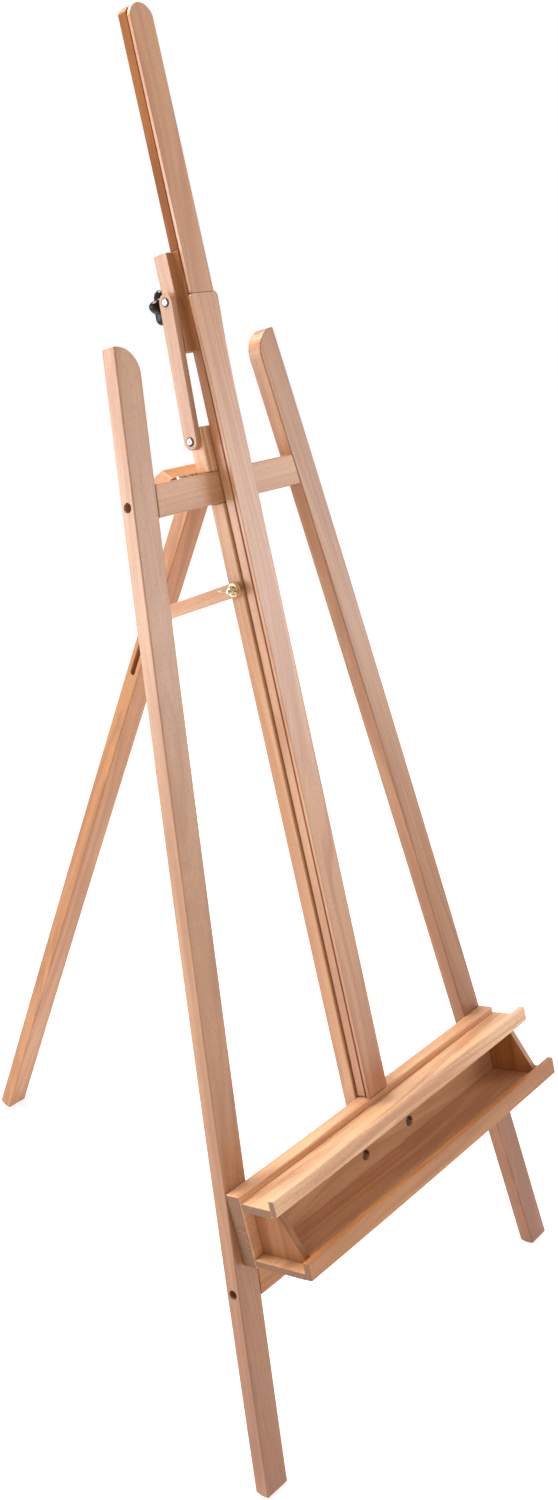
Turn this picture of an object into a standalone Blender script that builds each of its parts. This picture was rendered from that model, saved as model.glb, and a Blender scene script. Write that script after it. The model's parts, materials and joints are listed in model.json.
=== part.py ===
"""Wooden artist easel: an A-frame on a single rear leg, with a sliding tray and a tilting mast.

Units are metres, +Z is up and the easel faces -Y. Its boards are drawn in a leaning frame whose local
axes are X (to the easel's own width), Y (behind the front plane of the A-frame) and Z (up along it).
"""

import math

import bmesh
import bpy
from mathutils import Matrix, Vector

# Stance
LEAN = math.radians(19.5)
LEG_OPENING = math.radians(38.66)
FOOT_CUT = 0.00315
GAP = 0.0003

# Stock and edges
BOARD = 0.0229
ARRIS = 0.0016
FINE_ARRIS = 0.0008

# Front legs
FOOT_HALF_SPAN = 0.3671
SPLAY = 0.1406
LEG_WIDTH = 0.0413
LEG_TOP = 1.527
LEG_TOP_RADIUS = 0.034

# Crossbars, rail and head post
BAR_HEIGHT = 0.042
UPPER_BAR_TOP = 1.350
LOWER_BAR_TOP = 0.328
RAIL_HALF_WIDTH = 0.0218
POST_HALF_WIDTH = 0.035
POST_HEIGHT = 0.0597

# Fasteners
SHANK = 0.003
CLEARANCE_HOLE = 0.0034
COUNTERBORE = 0.0066
COUNTERBORE_DEPTH = 0.0142
HEAD_RADIUS = 0.0058
HEAD_HEIGHT = 0.0025
FRAME_BOLT_LENGTH = 0.066
BARREL_RADIUS = 0.005
BARREL_LENGTH = 0.014
BARREL_INSET = 0.032

# Mast and its extension
MAST_FOOT = 0.4537
MAST_TOP = 1.5785
MAST_HALF_WIDTH = 0.021
MAST_FRONT = -0.026
PLATE_BACK = -0.0205
NECK_HALF_WIDTH = 0.0185
NECK_FRONT = -0.016
NECK_BACK = -0.002
WEB_HALF_WIDTH = 0.0125
GROOVE_HALF_WIDTH = 0.007
GROOVE_FRONT = -0.012
FLARE_START = 1.455
FLARE_HALF_WIDTH = 0.0245
FLARE_CORNER = 0.006
EXTENSION_TOP = 1.963
EXTENSION_FRONT = -0.0255
EXTENSION_PLATE_BACK = -0.0201
EXTENSION_NECK_FRONT = -0.0167
TONGUE_BOTTOM = 1.1285
TONGUE_TOP = 1.70
TONGUE_SLACK = 0.0005
FOOT_PIN_Z = 0.470
FOOT_PIN_Y = -0.009
FOOT_PIN_RADIUS = 0.002

# Links and clamp block
LINK_LOWER = Vector((0, 0.0122, 1.3935))
LINK_UPPER = Vector((0, 0.0015, 1.574))
LINK_INNER = 0.0355
LINK_THICKNESS = 0.009
LINK_WIDTH = 0.023
CLAMP_BOTTOM = 1.507
CLAMP_TOP = 1.636
CLAMP_HALF_WIDTH = 0.035
CLAMP_BACK = 0.0135
CLAMP_SHOULDER = -0.0095
JAW_INNER = 0.019
JAW_OUTER = 0.0225
JAW_FRONT = -0.0193
JAW_BACK = -0.0174
JAW_TIP = 0.0132
KNOB_HEIGHT = 1.5745
KNOB_RADIUS = 0.025
KNOB_LOBES = 5
KNOB_WAVE = 0.0042
KNOB_TURN = math.radians(190)

# Rear leg, in its own frame: Y is the distance behind the hinge plane, Z runs up from the hinge
HINGE = Vector((0, 0.0262, 1.3505))
REAR_HALF_WIDTH = 0.0197
REAR_FRONT = 0.0037
REAR_BACK = 0.0267
REAR_LENGTH = 1.347
REAR_HEAD_HALF_WIDTH = 0.0875
REAR_HEAD_BOTTOM = -0.043
REAR_HEAD_CHAMFER = 0.015
KNUCKLE_RADIUS = 0.003
HINGE_CENTRE = 0.052
HINGE_HALF_WIDTH = 0.016
HINGE_PIN = 0.0012

# Stay
STAY_PIVOT = Vector((0, 0.0085, 1.1925))
SLOT_CENTRE = 0.0152
SLOT_TOP = -0.2465
SLOT_BOTTOM = -0.3405
SLOT_WIDTH = 0.008
STAY_WIDTH = 0.019
STAY_THICKNESS = 0.008
STAY_INNER = 0.0225
STAY_OVERHANG = 0.013

# Tray
TRAY_HALF_LENGTH = 0.3035
TRAY_BACK_FRONT = -0.0248
TRAY_BACK_BOTTOM = 0.343
TRAY_BACK_TOP = 0.4517
TOP_SHELF_BOTTOM = 0.4305
TOP_SHELF_TOP = 0.4425
TOP_LIP_FRONT = -0.0861
TOP_LIP_BOTTOM = 0.4335
TOP_LIP_TOP = 0.4568
LIP_THICKNESS = 0.0098
BOTTOM_SHELF_BOTTOM = 0.347
BOTTOM_SHELF_TOP = 0.357
BOTTOM_LIP_FRONT = -0.1212
BOTTOM_LIP_TOP = 0.3735
END_PANEL_FACE = 0.2855
END_PANEL_THICKNESS = 0.010
END_PANEL_TOP_FRONT = -0.067
END_PANEL_BOTTOM_FRONT = -0.103
TRAY_BOLT_X = 0.053
TRAY_BOLT_Z = 0.380
GUIDE_OUTER = 0.070
GUIDE_TOP = 0.434
CLAMP_PLATE = (0.0235, 0.0295)
CLAMP_PLATE_HALF_HEIGHT = 0.022

Z = Vector((0, 0, 1))
ALONG_X = (0, math.radians(90), 0)
ALONG_MINUS_X = (0, math.radians(-90), 0)
ALONG_Y = (math.radians(-90), 0, 0)
ALONG_MINUS_Z = (math.radians(180), 0, 0)
ALONG_MINUS_X_TURNED = (math.radians(-90), 0, math.radians(90))


def clear_scene():
    for obj in list(bpy.data.objects):
        bpy.data.objects.remove(obj, do_unlink=True)


def principled(name, colour, roughness, metallic=0.0):
    material = bpy.data.materials.new(name)
    material.use_nodes = True
    shader = material.node_tree.nodes["Principled BSDF"]
    shader.inputs["Base Color"].default_value = (*colour, 1.0)
    shader.inputs["Roughness"].default_value = roughness
    shader.inputs["Metallic"].default_value = metallic
    material.diffuse_color = (*colour, 1.0)
    return material


def empty(name, parent=None, location=(0, 0, 0), rotation=(0, 0, 0)):
    """A named axis system. Everything that moves together hangs from one of these."""
    obj = bpy.data.objects.new(name, None)
    bpy.context.scene.collection.objects.link(obj)
    obj.parent = parent
    obj.location = location
    obj.rotation_euler = rotation
    return obj


def solid(name, bm, parent, material=None, location=(0, 0, 0), rotation=(0, 0, 0), smooth=False):
    bmesh.ops.recalc_face_normals(bm, faces=bm.faces)
    mesh = bpy.data.meshes.new(name)
    bm.to_mesh(mesh)
    bm.free()
    if smooth:
        mesh.shade_smooth()
        mesh.set_sharp_from_angle(angle=math.radians(40))
    obj = bpy.data.objects.new(name, mesh)
    bpy.context.scene.collection.objects.link(obj)
    obj.parent = parent
    obj.location = location
    obj.rotation_euler = rotation
    if material:
        mesh.materials.append(material)
    return obj


def ease_edges(obj, width, segments=2):
    bevel = obj.modifiers.new("eased_edges", "BEVEL")
    bevel.width = width
    bevel.segments = segments
    bevel.limit_method = "ANGLE"
    bevel.angle_limit = math.radians(30)


def combine(obj, other, operation):
    """Booleans a helper into obj. The helper itself is not part of the easel."""
    other.hide_render = True
    other.display_type = "WIRE"
    modifier = obj.modifiers.new(other.name, "BOOLEAN")
    modifier.operation = operation
    modifier.object = other


def cut(obj, name, bm, location=(0, 0, 0), rotation=(0, 0, 0)):
    """Cuts the bmesh, given in the frame of obj's parent, out of obj."""
    cutter = solid(f"cut_{obj.name}_{name}", bm, obj.parent, None, location, rotation)
    combine(obj, cutter, "DIFFERENCE")


def box(low, high):
    bm = bmesh.new()
    bmesh.ops.create_cube(bm, size=1.0)
    for vert in bm.verts:
        vert.co = Vector(a + (b - a) * (c + 0.5) for a, b, c in zip(low, high, vert.co))
    return bm


def prism(outline, axis, low, high):
    """Extrudes a closed outline along one axis. Its points give the other two axes in XYZ order."""
    bm = bmesh.new()
    order = {"x": (2, 0, 1), "y": (0, 2, 1), "z": (0, 1, 2)}[axis]
    rings = []
    for level in (low, high):
        points = [(*point, level) for point in outline]
        rings.append([bm.verts.new([point[i] for i in order]) for point in points])
    bm.faces.new(rings[0])
    bm.faces.new(rings[1])
    for i in range(len(outline)):
        j = (i + 1) % len(outline)
        bm.faces.new((rings[0][i], rings[0][j], rings[1][j], rings[1][i]))
    return bm


def loft(sections):
    """Joins outlines of equal length, each with its own height, into one closed body."""
    bm = bmesh.new()
    rings = [[bm.verts.new((x, y, z)) for x, y in outline] for z, outline in sections]
    bm.faces.new(rings[0])
    bm.faces.new(rings[-1])
    for lower, upper in zip(rings, rings[1:]):
        for i in range(len(lower)):
            j = (i + 1) % len(lower)
            bm.faces.new((lower[i], lower[j], upper[j], upper[i]))
    return bm


def lathe(profile, segments=16):
    """Turns (radius, height) points round Z. A profile starts and ends on the axis, or is a closed loop."""
    bm = bmesh.new()
    angles = [2 * math.pi * i / segments for i in range(segments)]
    closed = profile[0][0] > 0
    rings = []
    for radius, z in profile:
        if radius == 0:
            rings.append([bm.verts.new((0, 0, z))])
        else:
            rings.append([bm.verts.new((radius * math.cos(a), radius * math.sin(a), z)) for a in angles])
    pairs = list(zip(rings, rings[1:]))
    if closed:
        pairs.append((rings[-1], rings[0]))
    for lower, upper in pairs:
        for i in range(segments):
            j = (i + 1) % segments
            near = [lower[i % len(lower)], lower[j % len(lower)]]
            far = [upper[j % len(upper)], upper[i % len(upper)]]
            bm.faces.new(list(dict.fromkeys(near + far)))
    return bm


def rod(radius, low, high, segments=14):
    return lathe([(0, low), (radius, low), (radius, high), (0, high)], segments)


def hexagon(across, low, high):
    radius = across / math.sqrt(3)
    outline = [(radius * math.cos(a), radius * math.sin(a)) for a in (math.radians(60 * i) for i in range(6))]
    return prism(outline, "z", low, high)


def arc(centre, radius, start, end, steps):
    """Points on an arc, with both ends, angles in degrees."""
    angles = [math.radians(start + (end - start) * i / steps) for i in range(steps + 1)]
    return [(centre[0] + radius * math.cos(a), centre[1] + radius * math.sin(a)) for a in angles]


def bar_outline(length, width, overhang=0.0, steps=8):
    """A bar with two round ends, along the second coordinate, between two centres."""
    radius = width / 2
    bottom = arc((0, radius - max(radius, overhang)), radius, 180, 360, steps)
    return bottom + arc((0, length), radius, 0, 180, steps)


def trim_below_floor(bm, frame, floor):
    """Cuts off what lies below the floor, leaving a small flat on a foot that is otherwise cut square."""
    to_local = frame.inverted()
    point = to_local @ Vector((0, 0, floor))
    normal = (to_local.to_3x3() @ Z).normalized()
    geometry = bm.verts[:] + bm.edges[:] + bm.faces[:]
    result = bmesh.ops.bisect_plane(bm, geom=geometry, plane_co=point, plane_no=normal, clear_inner=True)
    edges = [item for item in result["geom_cut"] if isinstance(item, bmesh.types.BMEdge)]
    bmesh.ops.edgeloop_fill(bm, edges=edges)


# ---------------------------------------------------------------- fasteners


def bolt(name, parent, material, location, rotation, length, head_radius=HEAD_RADIUS):
    """A pan-headed bolt. Its head rests at the origin and its shank runs along +Z."""
    crown = HEAD_HEIGHT * 0.6
    profile = [
        (0, -HEAD_HEIGHT),
        (head_radius * 0.62, -HEAD_HEIGHT),
        (head_radius * 0.9, -crown),
        (head_radius, -crown / 2),
        (head_radius, 0),
        (SHANK, 0),
        (SHANK, length - SHANK / 3),
        (SHANK * 0.7, length),
        (0, length),
    ]
    obj = solid(name, lathe(profile), parent, material, location, rotation, smooth=True)
    socket = solid(f"cut_{name}_socket", hexagon(0.0035, -0.005, -0.001), obj)
    combine(obj, socket, "DIFFERENCE")
    return obj


def barrel_nut(name, parent, material, location):
    """A cross dowel along Y, with its bolt hole along its own Y before turning."""
    half = BARREL_LENGTH / 2
    profile = [(0, -half), (BARREL_RADIUS, -half), (BARREL_RADIUS, half), (0, half)]
    return solid(name, lathe(profile, 12), parent, material, location, ALONG_Y, smooth=True)


def wing_nut(name, parent, material, location, rotation):
    """A wing nut that stands on its origin, with its axis along Z and its wings along X."""
    base, top, height, wing = 0.0068, 0.0045, 0.0085, 0.0012
    profile = [(CLEARANCE_HOLE, 0), (base, 0), (base, 0.002), (top, height), (CLEARANCE_HOLE, height)]
    obj = solid(name, lathe(profile), parent, material, location, rotation, smooth=True)
    for side in (-1, 1):
        blade = [(0.0042, 0.0015), (0.0085, 0.003), (0.0125, 0.0065)]
        blade += arc((0.0128, 0.0118), 0.0034, -60, 150, 6)
        blade += [(0.0078, 0.0095), (0.0042, 0.0078)]
        bm = prism([(side * x, z) for x, z in blade], "y", -wing, wing)
        combine(obj, solid(f"cut_{name}_wing_{side}", bm, obj), "UNION")
    return obj


def pivot_screw(name, parent, material, y, z, side):
    """A shouldered screw with a flat disc head, on the outside of a link."""
    disc, thickness, reach = 0.005, 0.0018, 0.020
    profile = [
        (0, -thickness),
        (disc - 0.0006, -thickness),
        (disc, -thickness + 0.0006),
        (disc, 0),
        (SHANK, 0),
        (SHANK, reach),
        (0, reach),
    ]
    outside = side * (LINK_INNER + LINK_THICKNESS + GAP)
    turn = ALONG_X if side < 0 else ALONG_MINUS_X
    obj = solid(name, lathe(profile), parent, material, (outside, y, z), turn, smooth=True)
    combine(obj, solid(f"cut_{name}_socket", hexagon(0.0025, -0.005, -0.0008), obj), "DIFFERENCE")
    return obj


# ---------------------------------------------------------------- A-frame


def leg_outer(z):
    return FOOT_HALF_SPAN - SPLAY * z


def leg_inner(z):
    return leg_outer(z) - LEG_WIDTH * math.hypot(1, SPLAY)


def front_leg(side, frame, wood):
    """A splayed leg, cut square at the foot and rounded off on the inside at the top."""
    along = Vector((-SPLAY, 1)).normalized()
    across = Vector((-along.y, along.x))
    corner = Vector((leg_outer(LEG_TOP), LEG_TOP))
    centre = corner + across * (LEG_WIDTH - LEG_TOP_RADIUS) - along * LEG_TOP_RADIUS
    turn = math.degrees(math.atan(SPLAY))
    top = arc(centre, LEG_TOP_RADIUS, 90 + turn, 180 + turn, 10)
    outline = [(leg_inner(0), 0), (leg_outer(0), 0), tuple(corner), *top]
    bm = prism([(side * x, z) for x, z in outline], "y", 0, BOARD)
    trim_below_floor(bm, frame.matrix_world, 0)
    name = "front_leg_left" if side < 0 else "front_leg_right"
    leg = solid(name, bm, frame, wood)
    ease_edges(leg, ARRIS)
    for label, bar_top in (("upper", UPPER_BAR_TOP), ("lower", LOWER_BAR_TOP)):
        z = bar_top - BAR_HEIGHT / 2
        floor = leg_outer(z) - COUNTERBORE_DEPTH
        profile = [
            (0, leg_inner(z) - 0.02),
            (CLEARANCE_HOLE, leg_inner(z) - 0.02),
            (CLEARANCE_HOLE, floor),
            (COUNTERBORE, floor),
            (COUNTERBORE, leg_outer(z) + 0.02),
            (0, leg_outer(z) + 0.02),
        ]
        turn_to = ALONG_X if side > 0 else ALONG_MINUS_X
        cut(leg, label, lathe(profile), (0, BOARD / 2, z), turn_to)
    return leg


def crossbar(name, top, frame, wood):
    """A bar between the legs, with a bolt hole in each end and a hole for each cross dowel."""
    bottom = top - BAR_HEIGHT
    middle = top - BAR_HEIGHT / 2
    low, high = leg_inner(bottom) - GAP, leg_inner(top) - GAP
    bm = prism([(-low, bottom), (low, bottom), (high, top), (-high, top)], "y", 0, BOARD)
    bar = solid(name, bm, frame, wood)
    ease_edges(bar, ARRIS)
    end = leg_inner(middle)
    for label, side in (("left", -1), ("right", 1)):
        turn = ALONG_X if side > 0 else ALONG_MINUS_X
        bore = rod(CLEARANCE_HOLE, end - BARREL_INSET - 0.01, end + 0.02)
        cut(bar, f"bolt_{label}", bore, (0, BOARD / 2, middle), turn)
        pocket = rod(BARREL_RADIUS + GAP, -BARREL_LENGTH / 2 - GAP, BARREL_LENGTH, 16)
        cut(bar, f"dowel_{label}", pocket, (side * (end - BARREL_INSET), BOARD / 2, middle), ALONG_Y)
    cut(bar, "upright", rod(CLEARANCE_HOLE, bottom - 0.01, top + 0.01), (0, BOARD / 2, 0))
    return bar


def bar_fasteners(label, top, frame, steel):
    """The bolt and cross dowel in each end of one crossbar."""
    z = top - BAR_HEIGHT / 2
    for side_name, side in (("left", -1), ("right", 1)):
        floor = leg_outer(z) - COUNTERBORE_DEPTH + GAP
        turn = ALONG_X if side < 0 else ALONG_MINUS_X
        bolt(f"{label}_bolt_{side_name}", frame, steel, (side * floor, BOARD / 2, z), turn, FRAME_BOLT_LENGTH)
        x = side * (leg_inner(z) - BARREL_INSET)
        nut = barrel_nut(f"{label}_barrel_nut_{side_name}", frame, steel, (x, BOARD / 2, z))
        cut(nut, "bore", rod(CLEARANCE_HOLE, -0.01, 0.01), (x, BOARD / 2, z), ALONG_X)


def centre_rail(frame, wood):
    """The upright between the crossbars, which the tray slides along."""
    low, high = LOWER_BAR_TOP + GAP, UPPER_BAR_TOP - BAR_HEIGHT - GAP
    rail = solid("centre_rail", box((-RAIL_HALF_WIDTH, 0, low), (RAIL_HALF_WIDTH, BOARD, high)), frame, wood)
    ease_edges(rail, ARRIS)
    cut(rail, "stay_bolt", rod(CLEARANCE_HOLE, -0.03, 0.03, 18), STAY_PIVOT, ALONG_X)
    ends = (("foot", low - 0.01, low + 0.06, low + 0.045), ("head", high - 0.07, high + 0.01, high - 0.055))
    for label, start, stop, nut_height in ends:
        cut(rail, f"{label}_bolt", rod(CLEARANCE_HOLE, start, stop), (0, BOARD / 2, 0))
        pocket = rod(BARREL_RADIUS + GAP, -BARREL_LENGTH / 2 - GAP, BARREL_LENGTH, 16)
        cut(rail, f"{label}_dowel", pocket, (0, BOARD / 2, nut_height), ALONG_Y)
    return rail


def rail_fasteners(frame, steel):
    """One long bolt down through post and crossbar, and one up through the lower crossbar."""
    low, high = LOWER_BAR_TOP + GAP, UPPER_BAR_TOP - BAR_HEIGHT - GAP
    post_seat = UPPER_BAR_TOP + GAP + POST_HEIGHT - 0.008 + GAP
    bolt("head_post_bolt", frame, steel, (0, BOARD / 2, post_seat), ALONG_MINUS_Z, post_seat - high + 0.065)
    bolt("rail_foot_bolt", frame, steel, (0, BOARD / 2, LOWER_BAR_TOP - BAR_HEIGHT - GAP), (0, 0, 0), 0.098)
    for label, z in (("head_post", high - 0.055), ("rail_foot", low + 0.045)):
        nut = barrel_nut(f"{label}_barrel_nut", frame, steel, (0, BOARD / 2, z))
        cut(nut, "bore", rod(CLEARANCE_HOLE, -0.01, 0.01), (0, BOARD / 2, z))


def head_post(frame, wood):
    """The short post on the upper crossbar that carries the links' lower pivots."""
    low = UPPER_BAR_TOP + GAP
    high = low + POST_HEIGHT
    post = solid("head_post", box((-POST_HALF_WIDTH, 0, low), (POST_HALF_WIDTH, BOARD, high)), frame, wood)
    ease_edges(post, ARRIS)
    profile = [
        (0, low - 0.01),
        (CLEARANCE_HOLE, low - 0.01),
        (CLEARANCE_HOLE, high - 0.008),
        (COUNTERBORE, high - 0.008),
        (COUNTERBORE, high + 0.01),
        (0, high + 0.01),
    ]
    cut(post, "bolt", lathe(profile), (0, BOARD / 2, 0))
    for label, side in (("left", -1), ("right", 1)):
        turn = ALONG_X if side > 0 else ALONG_MINUS_X
        cut(post, f"pivot_{label}", rod(CLEARANCE_HOLE, 0.023, 0.05), LINK_LOWER, turn)
    return post


# ---------------------------------------------------------------- tray


def tray_boards(tray, wood):
    """Back board, canvas shelf and lip, brush shelf and lip, and two end panels set in from the ends."""
    half = TRAY_HALF_LENGTH
    join = TRAY_BACK_FRONT - GAP
    lip_back = TOP_LIP_FRONT + LIP_THICKNESS
    low_lip_back = BOTTOM_LIP_FRONT + LIP_THICKNESS
    boards = {
        "tray_top_shelf": (lip_back + GAP, join, TOP_SHELF_BOTTOM, TOP_SHELF_TOP),
        "tray_top_lip": (TOP_LIP_FRONT, lip_back, TOP_LIP_BOTTOM, TOP_LIP_TOP),
        "tray_bottom_shelf": (low_lip_back + GAP, join, BOTTOM_SHELF_BOTTOM, BOTTOM_SHELF_TOP),
        "tray_bottom_lip": (BOTTOM_LIP_FRONT, low_lip_back, BOTTOM_SHELF_BOTTOM, BOTTOM_LIP_TOP),
    }
    for name, (front, back, bottom, top) in boards.items():
        board = solid(name, box((-half, front, bottom), (half, back, top)), tray, wood)
        ease_edges(board, FINE_ARRIS if "shelf" in name else ARRIS)
    for side_name, side in (("left", -1), ("right", 1)):
        low, high = BOTTOM_SHELF_TOP + GAP, TOP_SHELF_BOTTOM - GAP
        outline = [(join, low), (END_PANEL_BOTTOM_FRONT, low), (END_PANEL_TOP_FRONT, high), (join, high)]
        faces = sorted((side * END_PANEL_FACE, side * (END_PANEL_FACE - END_PANEL_THICKNESS)))
        ease_edges(solid(f"tray_end_{side_name}", prism(outline, "x", *faces), tray, wood), FINE_ARRIS)


def tray_back_board(tray, wood):
    low, high = (-TRAY_HALF_LENGTH, TRAY_BACK_FRONT), (TRAY_HALF_LENGTH, -GAP)
    board = solid("tray_back_board", box((*low, TRAY_BACK_BOTTOM), (*high, TRAY_BACK_TOP)), tray, wood)
    ease_edges(board, ARRIS * 1.4, 3)
    seat = TRAY_BACK_FRONT + 0.008
    recess = [(0, -0.05), (0.0078, -0.05), (0.0078, seat)]
    profile = recess + [(CLEARANCE_HOLE, seat), (CLEARANCE_HOLE, 0.02), (0, 0.02)]
    for label, side in (("left", -1), ("right", 1)):
        cut(board, f"bolt_{label}", lathe(profile), (side * TRAY_BOLT_X, 0, TRAY_BOLT_Z), ALONG_Y)
    cut(board, "eye", rod(CLEARANCE_HOLE, 0.424, 0.46), (0, FOOT_PIN_Y, 0))
    return board


def tray_clamp(tray, wood, steel, brass):
    """What holds the tray on the rail: two guide blocks, a plate across the back, bolts and wing nuts."""
    for label, side in (("left", -1), ("right", 1)):
        inner, outer = sorted((side * (RAIL_HALF_WIDTH + GAP * 2), side * GUIDE_OUTER))
        bottom = LOWER_BAR_TOP + GAP
        guide = solid(f"tray_guide_{label}", box((inner, 0, bottom), (outer, BOARD, GUIDE_TOP)), tray, wood)
        ease_edges(guide, FINE_ARRIS)
        cut(guide, "bolt", rod(CLEARANCE_HOLE, -0.01, 0.03), (side * TRAY_BOLT_X, 0, TRAY_BOLT_Z), ALONG_Y)
        seat = TRAY_BACK_FRONT + 0.008 - GAP
        place = (side * TRAY_BOLT_X, seat, TRAY_BOLT_Z)
        bolt(f"tray_bolt_{label}", tray, steel, place, ALONG_Y, 0.0425 - seat, 0.007)
        place = (side * TRAY_BOLT_X, CLAMP_PLATE[1] + GAP, TRAY_BOLT_Z)
        wing_nut(f"tray_wing_nut_{label}", tray, brass, place, ALONG_Y)
    half = CLAMP_PLATE_HALF_HEIGHT
    low = (-GUIDE_OUTER, CLAMP_PLATE[0], TRAY_BOLT_Z - half)
    plate = solid("tray_clamp_plate", box(low, (GUIDE_OUTER, CLAMP_PLATE[1], TRAY_BOLT_Z + half)), tray, wood)
    ease_edges(plate, FINE_ARRIS)
    for label, side in (("left", -1), ("right", 1)):
        cut(plate, label, rod(CLEARANCE_HOLE, 0, 0.05), (side * TRAY_BOLT_X, 0, TRAY_BOLT_Z), ALONG_Y)


def mast_foot_eye(tray, steel):
    """An eye bolt that stands in the back board's top edge and carries the mast's foot pin."""
    shank = rod(SHANK, 0.4255, FOOT_PIN_Z - 0.004, 16)
    stem = solid("mast_foot_eye", shank, tray, steel, (0, FOOT_PIN_Y, 0))
    eye = rod(0.0064, -0.0045, 0.0045)
    ring = solid("cut_mast_foot_eye_ring", eye, tray, None, (0, FOOT_PIN_Y, FOOT_PIN_Z), ALONG_X)
    combine(stem, ring, "UNION")
    cut(stem, "hole", rod(FOOT_PIN_RADIUS + GAP, -0.01, 0.01), (0, FOOT_PIN_Y, FOOT_PIN_Z), ALONG_X)


# ---------------------------------------------------------------- mast


def grooved_section(half_width, front, plate_back, neck_front, rear_groove=True):
    """Half the mast's section, mirrored: a front plate, a narrow web that leaves side grooves, and a neck."""
    half = [
        (half_width, front),
        (half_width, plate_back),
        (WEB_HALF_WIDTH, plate_back),
        (WEB_HALF_WIDTH, neck_front),
        (NECK_HALF_WIDTH, neck_front),
        (NECK_HALF_WIDTH, NECK_BACK),
    ]
    if rear_groove:
        half += [(GROOVE_HALF_WIDTH, NECK_BACK), (GROOVE_HALF_WIDTH, GROOVE_FRONT)]
    return half + [(-x, y) for x, y in reversed(half)]


def flare_half_width(z):
    """The front plate widens towards its top."""
    share = max(0.0, (z - FLARE_START) / (MAST_TOP - FLARE_START))
    return MAST_HALF_WIDTH + (FLARE_HALF_WIDTH - MAST_HALF_WIDTH) * share


def mast(body, origin, wood):
    """The lower mast, whose foot is forked round the eye bolt."""
    sections = []
    for z in (MAST_FOOT, FLARE_START, MAST_TOP + 0.01):
        outline = grooved_section(flare_half_width(z), MAST_FRONT, PLATE_BACK, NECK_FRONT)
        sections.append((z - origin.z, [(x, y - origin.y) for x, y in outline]))
    obj = solid("mast", loft(sections), body, wood)
    side, top = FLARE_HALF_WIDTH + GAP, MAST_TOP - origin.z
    shoulders = arc((side - FLARE_CORNER, top - FLARE_CORNER), FLARE_CORNER, 0, 90, 6)
    shoulders += [(-x, z) for x, z in reversed(shoulders)]
    shoulders += [(-side, -0.05), (side, -0.05)]
    head = solid("cut_mast_head", prism(shoulders, "y", -0.04, 0.03), body)
    combine(obj, head, "INTERSECT")
    ease_edges(obj, FINE_ARRIS)
    cut(obj, "fork", box((-0.005, -0.0075, -0.02), (0.005, 0.02, 0.0075)))
    pin_hole = rod(FOOT_PIN_RADIUS + GAP / 2, -0.0145, 0.03)
    cut(obj, "pin", pin_hole, (0, 0, 0), ALONG_X)
    return obj


def mast_extension(body, wood):
    """The sliding upper part, its top rounded over, with a groove that holds the tongue."""
    outline = grooved_section(
        MAST_HALF_WIDTH, EXTENSION_FRONT, EXTENSION_PLATE_BACK, EXTENSION_NECK_FRONT, rear_groove=False
    )
    low = MAST_TOP + GAP
    obj = solid("mast_extension", loft([(low, outline), (EXTENSION_TOP + 0.01, outline)]), body, wood)
    rounded = arc((0, EXTENSION_TOP - MAST_HALF_WIDTH), MAST_HALF_WIDTH + GAP, 0, 180, 14)
    rounded += [(-MAST_HALF_WIDTH - GAP, low - 0.01), (MAST_HALF_WIDTH + GAP, low - 0.01)]
    top = solid("cut_mast_extension_top", prism(rounded, "y", -0.04, 0.01), body)
    combine(obj, top, "INTERSECT")
    ease_edges(obj, FINE_ARRIS)
    groove = box((-GROOVE_HALF_WIDTH, GROOVE_FRONT, low - 0.01), (GROOVE_HALF_WIDTH, 0.01, TONGUE_TOP + GAP))
    cut(obj, "groove", groove)
    return obj


def mast_tongue(body, wood):
    """The strip that joins the extension to the lower mast and slides in its rear groove."""
    half = GROOVE_HALF_WIDTH - TONGUE_SLACK
    low = (-half, GROOVE_FRONT + TONGUE_SLACK, TONGUE_BOTTOM)
    obj = solid("mast_tongue", box(low, (half, NECK_BACK - TONGUE_SLACK, TONGUE_TOP)), body, wood)
    ease_edges(obj, FINE_ARRIS / 2, 1)


def clamp_block(body, origin, wood):
    """A block behind the mast with two thin jaws that hook into its side grooves."""
    half = [
        (CLAMP_HALF_WIDTH, CLAMP_BACK),
        (CLAMP_HALF_WIDTH, CLAMP_SHOULDER),
        (JAW_OUTER, CLAMP_SHOULDER),
        (JAW_OUTER, JAW_FRONT),
        (JAW_TIP, JAW_FRONT),
        (JAW_TIP, JAW_BACK),
        (JAW_INNER, JAW_BACK),
        (JAW_INNER, -0.0005),
    ]
    outline = half + [(-x, y) for x, y in reversed(half)]
    outline = [(x, y - origin.y) for x, y in outline]
    sections = [(CLAMP_BOTTOM - origin.z, outline), (CLAMP_TOP - origin.z, outline)]
    obj = solid("clamp_block", loft(sections), body, wood)
    ease_edges(obj, FINE_ARRIS)
    bolt_z = KNOB_HEIGHT - origin.z
    cut(obj, "bolt", rod(CLEARANCE_HOLE, -0.01, 0.03), (0, 0, bolt_z), ALONG_Y)
    for label, side in (("left", -1), ("right", 1)):
        turn = ALONG_X if side > 0 else ALONG_MINUS_X
        cut(obj, f"pivot_{label}", rod(CLEARANCE_HOLE, 0.0235, 0.05), (0, 0, 0), turn)
    return obj


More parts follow.
